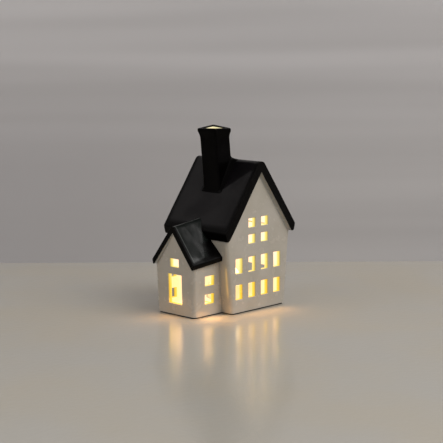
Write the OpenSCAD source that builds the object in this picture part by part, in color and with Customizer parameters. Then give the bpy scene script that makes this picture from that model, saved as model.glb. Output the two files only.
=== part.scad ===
/* [Main house] */
// Width of the main house at its foot
house_width = 58.2; // [52:0.2:66]
// Depth of the main house from gable wall to gable wall
house_depth = 60.4; // [54:0.2:76]
// Thickness of the fired walls
wall = 3.8; // [3:0.1:4.6]
// Outward lean of the two long walls, in degrees
side_lean = 5.8; // [0:0.1:7]
// Radius of the upright outer corners
corner_round = 2.6; // [1.5:0.1:3.5]
// Radius of the upright inner corners
inner_round = 1.2; // [0.6:0.1:2]

/* [Main roof] */
// Height of the ridge above the table
ridge_height = 111.8; // [105:0.2:120]
// Slope of the main roof, in degrees
roof_pitch = 54.6; // [52:0.1:57]
// Thickness of the main roof slabs
roof_slab = 6.5; // [5:0.1:8]
// Radius of the rounded ridge
ridge_round = 4.7; // [3:0.1:6]
// Reach of each eave from the ridge line
eave_reach = 37.8; // [37:0.1:42]
// Radius of the rounded eave edges
eave_round = 2; // [1:0.1:2.4]
// Run of the lower edge of each eave past a square end
eave_run = 2; // [0:0.1:3]
// Overhang of the roof past each gable wall
gable_overhang = 2.65; // [1.5:0.05:4]

/* [Annex] */
// Length of the annex from the foot of the main house
annex_length = 28.6; // [24:0.2:40]
// Width of the annex at its foot
annex_width = 39.4; // [34:0.1:42]
// Middle of the annex from the front gable wall
annex_place = 30.2; // [27:0.1:36]
// Outward lean of the annex walls, in degrees
annex_lean = 1.3; // [0:0.1:3]
// Height of the annex ridge over the door wall
annex_ridge_height = 66.2; // [62:0.2:68]
// Height of the annex ridge at the main house
annex_back_height = 70; // [68:0.2:72]
// Slope of the annex roof over the door wall, in degrees
annex_pitch = 51.8; // [49:0.1:54]
// Slope of the annex roof at the main house, in degrees
annex_back_pitch = 47.5; // [46:0.1:50]
// Thickness of the annex roof slabs
annex_slab = 3.8; // [3:0.1:4.6]
// Radius of the annex ridge
annex_ridge_round = 2.75; // [1.5:0.05:4]
// Reach of each annex eave from its ridge line
annex_eave_reach = 21.9; // [21:0.1:24]
// Spread of each annex eave at the main house
annex_spread = 3; // [0:0.1:4]
// Radius of the annex eave edges
annex_eave_round = 1.3; // [0.6:0.1:1.4]
// Run of the lower edge of each annex eave past a square end
annex_eave_run = 1; // [0:0.1:2]
// Overhang of the annex roof past the door wall
annex_overhang = 2.6; // [1.5:0.1:4]
// Height of the way through from the annex to the main house
passage_height = 44; // [36:0.5:48]

/* [Windows and door] */
// Width of each gable window
window_width = 7.4; // [6:0.1:9]
// Distance from one gable window to the next
window_pitch = 13.73; // [12.6:0.01:14.2]
// Step of the gable windows from the ridge line towards the annex
window_shift = 0.7; // [0:0.1:1.5]
// Sill height of the ground floor windows
ground_sill = 10.7; // [9.5:0.1:13]
// Height of the ground floor windows
ground_window = 11; // [8:0.1:13]
// Sill height of the upper floor windows
upper_sill = 30.2; // [28:0.1:34]
// Height of the upper floor windows
upper_window = 11.3; // [8:0.1:13]
// Sill height of the lower attic windows
attic_sill = 51.4; // [49:0.1:53]
// Height of the attic windows
attic_window = 6.7; // [5:0.1:8]
// Distance from one attic sill to the next
attic_step = 12.1; // [10.5:0.1:13]
// Distance between the two windows in the long wall on the right
right_window_pitch = 13.4; // [11:0.1:18]
// Sill height of those two windows
right_sill = 16.6; // [12:0.1:22]
// Width of the doorway
door_width = 14; // [12:0.1:16]
// Height of the doorway
door_height = 21.8; // [18:0.1:24]
// Height of the doorway's foot above the table
door_foot = 9; // [7.5:0.1:11]
// Width of the small window over the door
lunette_width = 8.9; // [7:0.1:11]
// Height of the small window over the door
lunette_height = 6.2; // [5:0.1:8]
// Sill height of the small window over the door
lunette_sill = 36.2; // [34.5:0.1:38]
// Width of the windows in the annex side walls
annex_window_width = 9.6; // [7:0.1:12]
// Height of the windows in the annex side walls
annex_window_height = 7.3; // [6:0.1:9]
// Sill height of the lower windows in the annex side walls
annex_lower_sill = 9.3; // [8:0.1:11]
// Sill height of the upper windows in the annex side walls
annex_upper_sill = 23; // [20:0.1:25]
// Middle of the annex side windows from the door wall's foot
annex_window_place = 15.6; // [13:0.1:17]
// Width of each window in the annex wall that faces back
far_window_width = 6.2; // [5:0.1:9]
// Sill height of the upper window in the annex wall that faces back
far_upper_sill = 25; // [20:0.1:26]

/* [Chimney] */
// Width of the chimney across the ridge
chimney_width = 15.3; // [12:0.1:17]
// Depth of the chimney along the ridge
chimney_depth = 17.1; // [15:0.1:20]
// Height of the chimney rim above the table
chimney_height = 135.2; // [126:0.2:146]
// Gap from the ridge line to the near chimney face
chimney_offset = 3.6; // [2:0.1:5]
// Distance from the front gable wall to the chimney
chimney_place = 22.4; // [19:0.1:27]
// Lean of the chimney away from the ridge, in degrees
chimney_side_lean = 1.4; // [0:0.1:4]
// Lean of the chimney towards the rear gable, in degrees
chimney_back_lean = 4; // [0:0.1:5]
// Wall of the chimney
chimney_wall = 2.1; // [1.8:0.1:3.4]
// Spread of the rim past each chimney face
rim_flare = 1; // [0.5:0.1:2]
// Height of the flared stretch
rim_height = 8; // [5:0.5:12]
// Height of the rim's straight edge
rim_edge = 1.6; // [1:0.1:2.5]

/* [Foot] */
// Thickness of the soft pad under the foot
pad = 1; // [0.8:0.1:1.2]
// Step from the walls in to the edge of the pad
pad_inset = 0.8; // [0.4:0.1:2]
// Thickness of the ceramic floor
floor_slab = 5; // [4.4:0.1:6]
// Radius of the round port in the floor
port_radius = 18.5; // [18:0.1:19.5]
// Radius of the sunk seat round the port
seat_radius = 21; // [20.8:0.1:21.6]

/* [Lamp] */
// Radius of the lamp's flange
flange_radius = 20.5; // [20:0.1:20.6]
// Thickness of the flange
flange = 2.4; // [2.2:0.1:2.6]
// Step from the ceramic foot up to the flange
flange_step = 0.2; // [0.1:0.05:0.4]
// Outer radius of the lamp's cup
cup_radius = 17; // [16.8:0.1:17.4]
// Wall of the cup
cup_wall = 1.4; // [1.2:0.1:1.6]
// Height of the cup above the flange
cup_height = 12; // [11:0.1:15]
// Thickness of the lid
lid = 1.4; // [1.2:0.1:2]
// Outer radius of the frosted dome
dome_radius = 7; // [6:0.1:9]
// Straight height of the dome under its round top
dome_straight = 6; // [4:0.1:9]
// Wall of the dome
dome_wall = 1; // [0.8:0.1:1.2]
// Radius of the button cell
cell_radius = 10; // [8:0.1:10.4]
// Thickness of the button cell
cell = 3.2; // [1.6:0.1:3.6]
// Thickness of the battery door
door_plate = 1.4; // [1.2:0.1:1.5]
// Travel of the switch knob
knob_travel = 2.2; // [1.5:0.1:3]

/* [Hidden] */

// Colours
glaze_white = [0.9, 0.88, 0.84];
glaze_black = [0.06, 0.06, 0.065];
pad_black = [0.1, 0.1, 0.1];
plastic_white = [0.92, 0.92, 0.9];
steel = [0.72, 0.73, 0.75];
board_green = [0.1, 0.35, 0.2];

// Overrun of every cut past the face that it opens
overrun = 1;
// Height of the discs that a leaning block is wrapped round
disc = 0.02;
// Number of straight steps in a rounded edge
arc_steps = 8;
// Facets of the discs in a leaning block
hull_facets = 32;
$fn = 64;

// Half widths and middles that many pieces share
house_half = house_width / 2;
annex_half = annex_width / 2;
house_middle = house_depth / 2;
annex_front = house_half + annex_length;
annex_reach = annex_front + annex_overhang;

// The origin lies on the table, in the middle of the object's length and depth
shift_x = (annex_reach - eave_reach) / 2;
shift_y = -house_middle;

// Heights of the roof planes
ridge_point = ridge_height + ridge_round * (1 / cos(roof_pitch) - 1);
attic_point = ridge_point - roof_slab / cos(roof_pitch);

// The annex roof ends inside the thickness of the main wall, at the height of its eaves
annex_eave = annex_ridge_height / 2;
annex_back = house_half + annex_eave * tan(side_lean) - wall / 3;

// Places of the chimney
chimney_x = -chimney_offset - chimney_width / 2;
chimney_y = chimney_place + chimney_depth / 2;
chimney_foot = ridge_point - (chimney_offset + chimney_width) * tan(roof_pitch);

// Heights in the lamp, from the table
flange_low = pad + flange_step;
flange_top = flange_low + flange;
seat_gap = 0.3;
seat_top = flange_top + seat_gap;
floor_top = pad + floor_slab;
cup_top = flange_top + cup_height;
cup_inner = cup_radius - cup_wall;
fit_gap = 0.05;
free_gap = 0.2;

// The cell bay in the cup
bay_y = -2.5;
bay_gap = 0.4;
bay_radius = cell_radius + bay_gap;
bay_wall = 1;
bay_outer = bay_radius + bay_wall;
cell_lift = 0.3;
door_top = flange_low + door_plate;
cell_low = door_top + cell_lift;
cell_top = cell_low + cell;
leaf_room = 1.1;
bay_roof_low = cell_top + leaf_room;
bay_roof = 1.2;
bay_roof_top = bay_roof_low + bay_roof;
board_lift = 1;
board_low = bay_roof_top + board_lift;
board = 1;
board_top = board_low + board;
board_gap = 0.6;
board_radius = cup_inner - board_gap;
post_radius = 1.2;
post_circle = bay_radius - post_radius;
post_count = 3;

// The battery door and its screw
door_rim = 1.6;
door_radius = bay_radius + door_rim;
ear_radius = 2.6;
boss_radius = 1.9;
boss_gap = 0.3;
screw_x = cup_inner - boss_radius - boss_gap;
tab_reach = 2.2;
tab_width = 6;
screw_radius = 0.95;
screw_head_radius = 1.8;
screw_head = 0.9;
screw_sink = 0.1;
screw_grip = 4.4;
screw_hole_over = 0.4;
cross_width = 0.5;
cross_depth = 0.5;
cross_length = 2.2;
nail_radius = 2.2;
nail_depth = 0.5;

// The contacts
contact = 0.3;
blade_width = 4;
tail_width = 1.2;
tail_rise = 0.5;
groove_side = 0.3;
leaf_root_x = 7.4;
leaf_bend_x = 4.2;
leaf_touch_x = 1.2;
leaf_curl_x = -3;
leaf_curl = 0.5;

// The diode and the board's small pieces
led_radius = 2.5;
led_rim_radius = 2.9;
led_rim = 1;
led_height = 8.6;
led_hole = 3;
lead_radius = 0.3;
lead_pitch = 2.54;
lead_length = 1.7;
hole_gap = 0.15;
dome_seat = 0.7;
spigot = 1.6;
spigot_wall = 1;
resistor_length = 3.2;
resistor_width = 1.6;
resistor_height = 0.6;
resistor_x = 7;
resistor_y = 4;

// The slide switch
switch_y = 11.6;
switch_length = 8.6;
switch_width = 3.7;
switch_height = 3.4;
stem = 1.6;
stem_rise = 0.7;
stem_room = 0.3;
knob_length = 3;
knob_width = 2.4;
knob_low = 0.6;
knob_depth = 0.8;
terminal_pitch = 2.5;
terminal_radius = 0.35;
terminal_count = 3;
ridge_count = 2;
knob_groove = 0.3;

// The nail notch beside the port
notch_radius = 4;

// A point at a distance down a slope and a depth under its outer face
function on_slope(top, pitch, along, deep) =
    [along * cos(pitch) - deep * sin(pitch), top - along * sin(pitch) - deep * cos(pitch)];

// Points of an arc from one angle to another
function arc(middle, radius, from, to) =
    [for (i = [0:arc_steps]) let (a = from + (to - from) * i / arc_steps)
        middle + radius * [cos(a), sin(a)]];

// Length of a slope whose rounded end reaches a given distance from the ridge line
function slope_length(pitch, reach, edge) = (reach - edge + edge * sin(pitch)) / cos(pitch) + edge;

// Right half of a roof's section, from the middle of the ridge to the lower edge of the eave
function roof_half(top, round_ridge, pitch, slab, reach, edge, run) =
    let (length = slope_length(pitch, reach, edge),
         crown = [0, top - round_ridge / cos(pitch)],
         outer = on_slope(top, pitch, length - edge, edge),
         inner = on_slope(top, pitch, length - edge + run, slab - edge),
         face = atan2(run, slab - 2 * edge) - pitch)
    concat(arc(crown, round_ridge, 90, 90 - pitch),
           arc(outer, edge, 90 - pitch, face),
           arc(inner, edge, face, -pitch - 90));

// A list of points turned over to the left and read backwards
function left_side(points) = [for (i = [len(points) - 1:-1:0]) [-points[i][0], points[i][1]]];

// Section of a roof, as slabs or filled in underneath
module roof_section(top, round_ridge, pitch, slab, reach, edge, run) {
    half = roof_half(top, round_ridge, pitch, slab, reach, edge, run);
    polygon(concat(half, [[0, top - slab / cos(pitch)]], left_side(half)));
}

// Height at which the two slopes of the annex would meet without their rounded ridge
function annex_point(height, pitch) = height + annex_ridge_round * (1 / cos(pitch) - 1);

// One slab of the annex roof at one end
module annex_half_section(height, pitch, reach) {
    point = annex_point(height, pitch);
    half = roof_half(point, annex_ridge_round, pitch, annex_slab, reach, annex_eave_round,
                     annex_eave_run);
    polygon(concat(half, [[0, point - annex_slab / cos(pitch)]]));
}

// Section of a roof filled in down to the table
module roof_fill(top, round_ridge, pitch, reach) {
    half = concat(arc([0, top - round_ridge / cos(pitch)], round_ridge, 90, 90 - pitch),
                  [[reach, top - reach * tan(pitch)], [reach, 0]]);
    polygon(concat(half, left_side(half)));
}

// Everything below the underside of a roof, out to a reach
module under_section(point, pitch, reach) {
    edge = point - reach * tan(pitch);
    polygon([[0, point], [reach, edge], [reach, -point], [-reach, -point], [-reach, edge]]);
}

// Runs a section along the depth of the main house
module along_depth(from, to) {
    translate([0, to, 0])
        rotate([90, 0, 0])
            linear_extrude(to - from)
                children();
}

// Joins a section at the door wall's overhang to one at the main house
module along_annex() {
    hull() {
        translate([-annex_reach, annex_place, 0])
            rotate([90, 0, 90])
                linear_extrude(disc)
                    children(0);
        translate([-annex_back - disc, annex_place, 0])
            rotate([90, 0, 90])
                linear_extrude(disc)
                    children(1);
    }
}

// A block with leaning sides and rounded upright corners; each lean is a slope in or out
module leaning_block(low, high, x_low, x_high, y_low, y_high, left, right, side, radius) {
    hull()
        for (z = [low, high - disc])
            for (x = [x_low + radius - (z - low) * left, x_high - radius + (z - low) * right])
                for (y = [y_low + radius - (z - low) * side, y_high - radius + (z - low) * side])
                    translate([x, y, z])
                        cylinder(h = disc, r = radius, $fn = hull_facets);
}

// The main house as a block, cut in by an inset
module house_block(inset, low, radius) {
    grow = (low - pad) * tan(side_lean);
    leaning_block(low, ridge_height, -house_half + inset - grow, house_half - inset + grow, inset,
                  house_depth - inset, tan(side_lean), tan(side_lean), 0, radius);
}

// The annex as a block that runs on into the main house
module annex_block(inset, low, radius) {
    grow = (low - pad) * tan(annex_lean);
    leaning_block(low, ridge_height, -annex_front + inset - grow, 0,
                  annex_place - annex_half + inset - grow, annex_place + annex_half - inset + grow,
                  tan(annex_lean), 0, tan(annex_lean), radius);
}

module house_solid() {
    intersection() {
        house_block(0, pad, corner_round);
        along_depth(-gable_overhang, house_depth + gable_overhang)
            under_section(attic_point, roof_pitch, eave_reach);
    }
}

module annex_slabs() {
    for (side = [0, 1])
        translate([0, annex_place, 0])
            mirror([0, side, 0])
                translate([0, -annex_place, 0])
                    along_annex() {
                        annex_half_section(annex_ridge_height, annex_pitch, annex_eave_reach);
                        annex_half_section(annex_back_height, annex_back_pitch,
                                           annex_eave_reach + annex_spread);
                    }
}

// Everything below the annex roof, out past its walls, and on to the foot of the leaning main wall
module under_annex() {
    translate([-annex_back - disc, 0, 0])
        cube([annex_back, house_depth, annex_eave]);
    back_drop = annex_slab / cos(annex_back_pitch);
    along_annex() {
        under_section(annex_point(annex_ridge_height, annex_pitch) - annex_slab / cos(annex_pitch),
                      annex_pitch, annex_eave_reach);
        under_section(annex_point(annex_back_height, annex_back_pitch) - back_drop,
                      annex_back_pitch, annex_eave_reach + annex_spread);
    }
}

module house_room() {
    house_block(wall, pad - overrun, inner_round);
}

module annex_room() {
    annex_block(wall, pad - overrun, inner_round);
}

// The way from the annex into the main house
module passage() {
    intersection() {
        annex_room();
        translate([-annex_front, 0, 0])
            cube([annex_front, house_depth, passage_height]);
    }
}

// A row of four windows in one gable wall
module window_row(sill, height) {
    for (i = [-1.5:1.5])
        translate([i * window_pitch - window_width / 2 - window_shift, -overrun, sill])
            cube([window_width, wall + 2 * overrun, height]);
}

// Windows of the upper floor and the attic in one gable wall
module high_windows() {
    window_row(upper_sill, upper_window);
    for (i = [-0.5, 0.5])
        for (step = [0, attic_step])
            translate([i * window_pitch - window_width / 2 - window_shift, -overrun, attic_sill + step])
                cube([window_width, wall + 2 * overrun, attic_window]);
}

// Window openings of the long wall on the right
module right_windows() {
    depth = wall + house_half;
    for (i = [-0.5, 0.5])
        translate([house_half - wall - overrun, house_middle + i * right_window_pitch - window_width / 2,
                   right_sill])
            cube([depth, window_width, ground_window]);
}

// A window of the annex through one of its side walls, set off from the annex's middle line
module side_window(side, width, sill) {
    translate([annex_window_place - annex_window_width / 2 - annex_front,
               annex_place + side * (annex_half - wall / 2) - wall, sill])
        cube([width, 2 * wall, annex_window_height]);
}

// Doorway and windows of the annex
module annex_openings() {
    depth = wall + annex_overhang + overrun;
    translate([-annex_reach, annex_place - door_width / 2, door_foot])
        cube([depth, door_width, door_height]);
    translate([-annex_reach, annex_place - lunette_width / 2, lunette_sill])
        cube([depth, lunette_width, lunette_height]);
    for (sill = [annex_lower_sill, annex_upper_sill])
        side_window(-1, annex_window_width, sill);
    for (sill = [annex_lower_sill, far_upper_sill])
        side_window(1, far_window_width, sill);
}

// A closed block of the main roof down to the table
module roof_block() {
    along_depth(-gable_overhang, house_depth + gable_overhang)
        roof_fill(ridge_point, ridge_round, roof_pitch, eave_reach);
}

module roof_slabs() {
    along_depth(-gable_overhang, house_depth + gable_overhang)
        roof_section(ridge_point, ridge_round, roof_pitch, roof_slab, eave_reach, eave_round,
                     eave_run);
}

// Places a shape on the leaning line of the chimney
module on_chimney() {
    translate([chimney_x, chimney_y, chimney_foot])
        rotate([-chimney_back_lean, -chimney_side_lean, 0])
            children();
}

// A slice of the chimney, spread past the straight faces
module chimney_slice(height, spread) {
    translate([-chimney_width / 2 - spread, -chimney_depth / 2 - spread, height])
        cube([chimney_width + 2 * spread, chimney_depth + 2 * spread, disc]);
}

// The bore of the flue
module flue(low, high) {
    translate([chimney_wall - chimney_width / 2, chimney_wall - chimney_depth / 2, low])
        cube([chimney_width - 2 * chimney_wall, chimney_depth - 2 * chimney_wall, high - low]);
}

// Puts the lamp's pieces on the axis of the port
module on_port() {
    translate([0, house_middle, 0])
        children();
}

// Puts a shape on the axis of the cell bay
module on_bay() {
    translate([0, bay_y, 0])
        children();
}

// Rectangle with round corners, from its low corner
module round_rect(size, radius) {
    translate([0, radius])
        square([size[0], size[1] - 2 * radius]);
    translate([radius, 0])
        square([size[0] - 2 * radius, size[1]]);
    for (x = [radius, size[0] - radius])
        for (y = [radius, size[1] - radius])
            translate([x, y])
                circle(radius);
}

module house_walls() {
    color(glaze_white)
        difference() {
            house_solid();
            house_room();
            passage();
            window_row(ground_sill, ground_window);
            high_windows();
            translate([0, house_depth, 0])
                mirror([0, 1, 0])
                    high_windows();
            right_windows();
        }
}

module annex_walls() {
    color(glaze_white)
        difference() {
            intersection() {
                annex_block(0, pad, corner_round);
                under_annex();
            }
            annex_slabs();
            annex_room();
            house_solid();
            annex_openings();
        }
}

module main_roof() {
    depth = chimney_width * tan(roof_pitch) + 2 * roof_slab;
    color(glaze_black)
        difference() {
            roof_slabs();
            on_chimney()
                flue(-depth, depth);
        }
}

module annex_roof() {
    color(glaze_black)
        difference() {
            annex_slabs();
            house_solid();
            roof_slabs();
        }
}

// The rim spreads out in a hollow curve and ends in a straight edge
module chimney() {
    top = chimney_height - chimney_foot;
    curve_low = top - rim_height;
    curve_high = top - rim_edge;
    curve_mid = (curve_low + curve_high) / 2;
    hollow_share = 0.3;
    color(glaze_black)
        difference() {
            on_chimney()
                difference() {
                    union() {
                        hull() {
                            chimney_slice(0, 0);
                            chimney_slice(curve_low, 0);
                        }
                        hull() {
                            chimney_slice(curve_low, 0);
                            chimney_slice(curve_mid, rim_flare * hollow_share);
                        }
                        hull() {
                            chimney_slice(curve_mid, rim_flare * hollow_share);
                            chimney_slice(curve_high, rim_flare);
                        }
                        hull() {
                            chimney_slice(curve_high, rim_flare);
                            chimney_slice(top - disc, rim_flare);
                        }
                    }
                    flue(-overrun, top + overrun);
                }
            roof_block();
        }
}

module house_floor() {
    color(glaze_white)
        difference() {
            intersection() {
                union() {
                    house_room();
                    annex_room();
                }
                translate([-annex_front, 0, pad])
                    cube([annex_front + house_width, house_depth, floor_slab]);
            }
            on_port() {
                translate([0, 0, pad - overrun])
                    cylinder(h = floor_slab + 2 * overrun, r = port_radius);
                translate([0, 0, pad - overrun])
                    cylinder(h = seat_top - pad + overrun, r = seat_radius);
                translate([0, seat_radius, pad - overrun])
                    cylinder(h = seat_top - pad + overrun, r = notch_radius);
            }
        }
}

module base_pad() {
    color(pad_black)
        difference() {
            linear_extrude(pad)
                union() {
                    translate([pad_inset - house_half, pad_inset])
                        round_rect([house_width - 2 * pad_inset, house_depth - 2 * pad_inset],
                                   corner_round);
                    translate([pad_inset - annex_front, annex_place - annex_half + pad_inset])
                        round_rect([annex_front, annex_width - 2 * pad_inset], corner_round);
                }
            on_port() {
                translate([0, 0, -overrun])
                    cylinder(h = pad + 2 * overrun, r = seat_radius + free_gap);
                translate([0, seat_radius, -overrun])
                    cylinder(h = pad + 2 * overrun, r = notch_radius);
            }
        }
}

// Outline of the battery door, grown by a gap
module door_outline(gap) {
    circle(door_radius + gap);
    translate([0, -ear_radius - gap])
        square([screw_x, 2 * ear_radius + 2 * gap]);
    translate([screw_x, 0])
        circle(ear_radius + gap);
    translate([-door_radius - tab_reach - gap, -tab_width / 2 - gap])
        square([door_radius + tab_reach, tab_width + 2 * gap]);
}

// Room for the positive blade in the wall of the bay
module blade_groove() {
    translate([-cell_radius - contact - 2 * groove_side, -blade_width / 2 - groove_side, door_top])
        cube([contact + 2 * groove_side + bay_gap, blade_width + 2 * groove_side,
              bay_roof_top - door_top + overrun]);
}

module lamp_housing() {
    color(plastic_white)
        on_port()
            difference() {
                union() {
                    difference() {
                        union() {
                            translate([0, 0, flange_low])
                                cylinder(h = flange, r = flange_radius);
                            translate([0, 0, flange_low])
                                cylinder(h = flange + cup_height, r = cup_radius);
                        }
                        translate([0, 0, flange_top])
                            cylinder(h = cup_height + overrun, r = cup_inner);
                    }
                    on_bay()
                        translate([0, 0, flange_low])
                            cylinder(h = bay_roof_top - flange_low, r = bay_outer);
                    translate([screw_x, bay_y, flange_low])
                        cylinder(h = screw_grip + screw_hole_over + flange, r = boss_radius);
                    on_bay()
                        for (i = [0:post_count - 1])
                            rotate([0, 0, 90 + i * 360 / post_count])
                                translate([post_circle, 0, bay_roof_low])
                                    cylinder(h = bay_roof + board_lift, r = post_radius);
                }
                on_bay() {
                    translate([0, 0, flange_low - overrun])
                        cylinder(h = bay_roof_low - flange_low + overrun, r = bay_radius);
                    translate([0, 0, flange_low - overrun])
                        linear_extrude(door_plate + overrun + fit_gap)
                            door_outline(free_gap);
                    blade_groove();
                    translate([leaf_root_x - free_gap, -tail_width / 2 - free_gap, bay_roof_low - overrun])
                        cube([contact + 2 * free_gap, tail_width + 2 * free_gap,
                              bay_roof + 2 * overrun]);
                    translate([screw_x, 0, flange_low])
                        cylinder(h = screw_grip + screw_hole_over + door_plate, r = screw_radius + fit_gap);
                }
                translate([-stem / 2 - free_gap, switch_y - stem / 2 - free_gap, flange_low - overrun])
                    cube([stem + knob_travel + 2 * free_gap, stem + 2 * free_gap, flange + 2 * overrun]);
                translate([-knob_length / 2 - free_gap, switch_y - knob_width / 2 - free_gap,
                           flange_low - overrun])
                    cube([knob_length + knob_travel + 2 * free_gap, knob_width + 2 * free_gap,
                          knob_depth + free_gap + overrun]);
            }
}

module retaining_ring() {
    color([0.85, 0.85, 0.85])
        on_port()
            translate([0, 0, flange_top])
                difference() {
                    cylinder(h = floor_top - flange_top, r = port_radius - fit_gap);
                    translate([0, 0, -overrun])
                        cylinder(h = floor_top - flange_top + 2 * overrun, r = cup_radius);
                }
}

module lamp_cover() {
    color(plastic_white)
        on_port()
            difference() {
                union() {
                    translate([0, 0, cup_top])
                        cylinder(h = lid, r = cup_radius);
                    translate([0, 0, cup_top - spigot])
                        difference() {
                            cylinder(h = spigot + lid, r = cup_inner - fit_gap);
                            translate([0, 0, -overrun])
                                cylinder(h = spigot + overrun, r = cup_inner - fit_gap - spigot_wall);
                        }
                }
                translate([0, 0, cup_top + lid - dome_seat])
                    cylinder(h = dome_seat + overrun, r = dome_radius + fit_gap);
                translate([0, 0, cup_top - overrun])
                    cylinder(h = lid + overrun, r = led_hole);
            }
}

module light_diffuser() {
    color([1, 0.97, 0.88])
        on_port()
            translate([0, 0, cup_top + lid - dome_seat])
                difference() {
                    union() {
                        cylinder(h = dome_straight, r = dome_radius);
                        translate([0, 0, dome_straight])
                            sphere(dome_radius);
                    }
                    translate([0, 0, dome_straight])
                        sphere(dome_radius - dome_wall);
                    translate([0, 0, -dome_radius])
                        cylinder(h = dome_radius + dome_straight, r = dome_radius - dome_wall);
                    translate([0, 0, -dome_radius])
                        cylinder(h = dome_radius, r = 2 * dome_radius);
                }
}

module led() {
    color([1, 0.9, 0.6])
        on_port()
            translate([0, 0, board_top]) {
                cylinder(h = led_rim, r = led_rim_radius);
                cylinder(h = led_height - led_radius, r = led_radius);
                translate([0, 0, led_height - led_radius])
                    sphere(led_radius);
            }
}

module led_leads() {
    color(steel)
        on_port()
            for (side = [-1, 1])
                translate([side * lead_pitch / 2, 0, board_top - lead_length])
                    cylinder(h = lead_length, r = lead_radius);
}

// Slot for a contact's tail through the board
module tail_slot(x) {
    translate([x - hole_gap, bay_y - tail_width / 2 - hole_gap, board_low - overrun])
        cube([contact + 2 * hole_gap, tail_width + 2 * hole_gap, board + 2 * overrun]);
}

module circuit_board() {
    color(board_green)
        on_port()
            difference() {
                translate([0, 0, board_low])
                    cylinder(h = board, r = board_radius);
                for (side = [-1, 1])
                    translate([side * lead_pitch / 2, 0, board_low - overrun])
                        cylinder(h = board + 2 * overrun, r = lead_radius + hole_gap);
                for (i = [0:terminal_count - 1])
                    translate([(i - 1) * terminal_pitch, switch_y, board_low - overrun])
                        cylinder(h = board + 2 * overrun, r = terminal_radius + hole_gap);
                tail_slot(-cell_radius - contact - fit_gap);
                tail_slot(leaf_root_x);
            }
}

module resistor() {
    color([0.15, 0.15, 0.16])
        on_port()
            translate([resistor_x - resistor_length / 2, resistor_y - resistor_width / 2, board_top])
                cube([resistor_length, resistor_width, resistor_height]);
}

module button_cell() {
    rim_share = 0.88;
    step_share = 0.1;
    color(steel)
        on_port()
            on_bay()
                translate([0, 0, cell_low]) {
                    cylinder(h = cell * (1 - step_share), r = cell_radius);
                    cylinder(h = cell, r = cell_radius * rim_share);
                }
}

// A blade that stands at the cell's side and ends in a narrow tail through the board
module positive_contact() {
    color(steel)
        on_port()
            on_bay()
                translate([-cell_radius - contact - fit_gap, 0, 0]) {
                    translate([0, -blade_width / 2, cell_low])
                        cube([contact, blade_width, bay_roof_top - cell_low]);
                    translate([0, -tail_width / 2, cell_low])
                        cube([contact, tail_width, board_top + tail_rise - cell_low]);
                }
}

// A leaf that hangs from the bay's roof, dips to the cell's face and curls up again
module negative_contact() {
    high = bay_roof_low - contact;
    low = cell_top + fit_gap;
    under = [[leaf_root_x + contact, high], [leaf_bend_x, high], [leaf_touch_x, low],
             [-leaf_touch_x, low], [leaf_curl_x, low + leaf_curl]];
    over = [for (i = [len(under) - 1:-1:0]) under[i] + [0, contact]];
    color(steel)
        on_port()
            on_bay() {
                translate([0, blade_width / 2, 0])
                    rotate([90, 0, 0])
                        linear_extrude(blade_width)
                            polygon(concat(under, over));
                translate([leaf_root_x, -tail_width / 2, high])
                    cube([contact, tail_width, board_top + tail_rise - high]);
            }
}

module battery_door() {
    color(plastic_white)
        on_port()
            on_bay()
                difference() {
                    translate([0, 0, flange_low])
                        linear_extrude(door_plate)
                            door_outline(0);
                    translate([screw_x, 0, flange_low - overrun])
                        cylinder(h = door_plate + 2 * overrun, r = screw_radius + fit_gap);
                    translate([screw_x, 0, flange_low - overrun])
                        cylinder(h = screw_head + screw_sink + overrun, r = screw_head_radius + fit_gap);
                    translate([-door_radius / 2, 0, flange_low + nail_depth - nail_radius])
                        rotate([90, 0, 0])
                            cylinder(h = tab_width, r = nail_radius, center = true);
                }
}

module battery_door_screw() {
    color(steel)
        on_port()
            on_bay()
                translate([screw_x, 0, flange_low + screw_sink])
                    difference() {
                        union() {
                            cylinder(h = screw_head, r = screw_head_radius);
                            cylinder(h = screw_grip + door_plate - screw_sink, r = screw_radius);
                        }
                        for (turn = [0, 90])
                            rotate([0, 0, turn])
                                translate([-cross_length / 2, -cross_width / 2, -overrun])
                                    cube([cross_length, cross_width, cross_depth + overrun]);
                    }
}

module switch_body() {
    color([0.2, 0.2, 0.22])
        on_port()
            translate([0, switch_y, flange_top])
                difference() {
                    translate([-switch_length / 2, -switch_width / 2, 0])
                        cube([switch_length, switch_width, switch_height]);
                    translate([-stem / 2 - free_gap, -stem / 2 - free_gap, -overrun])
                        cube([stem + knob_travel + 2 * free_gap, stem + 2 * free_gap,
                              stem_rise + stem_room + overrun]);
                }
}

module switch_terminals() {
    low = flange_top + switch_height;
    color(steel)
        on_port()
            for (i = [0:terminal_count - 1])
                translate([(i - 1) * terminal_pitch, switch_y, low])
                    cylinder(h = board_top + tail_rise - low, r = terminal_radius);
}

module switch_knob() {
    color([0.2, 0.2, 0.22])
        on_port()
            translate([0, switch_y, 0]) {
                difference() {
                    translate([-knob_length / 2, -knob_width / 2, knob_low])
                        cube([knob_length, knob_width, flange_low + knob_depth - knob_low]);
                    for (i = [1:ridge_count])
                        translate([i * knob_length / (ridge_count + 1) - knob_length / 2 - knob_groove / 2,
                                   -knob_width, knob_low - knob_groove])
                            cube([knob_groove, 2 * knob_width, 2 * knob_groove]);
                }
                translate([-stem / 2, -stem / 2, flange_low])
                    cube([stem, stem, flange + stem_rise]);
            }
}

// Moves a piece from the house's own corner to the origin
module placed() {
    translate([shift_x, shift_y, 0])
        children();
}

placed() house_walls();
placed() annex_walls();
placed() main_roof();
placed() annex_roof();
placed() chimney();
placed() house_floor();
placed() base_pad();
placed() lamp_housing();
placed() retaining_ring();
placed() lamp_cover();
placed() light_diffuser();
placed() led();
placed() led_leads();
placed() circuit_board();
placed() resistor();
placed() button_cell();
placed() positive_contact();
placed() negative_contact();
placed() battery_door();
placed() battery_door_screw();
placed() switch_body();
placed() switch_terminals();
placed() switch_knob();
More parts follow.
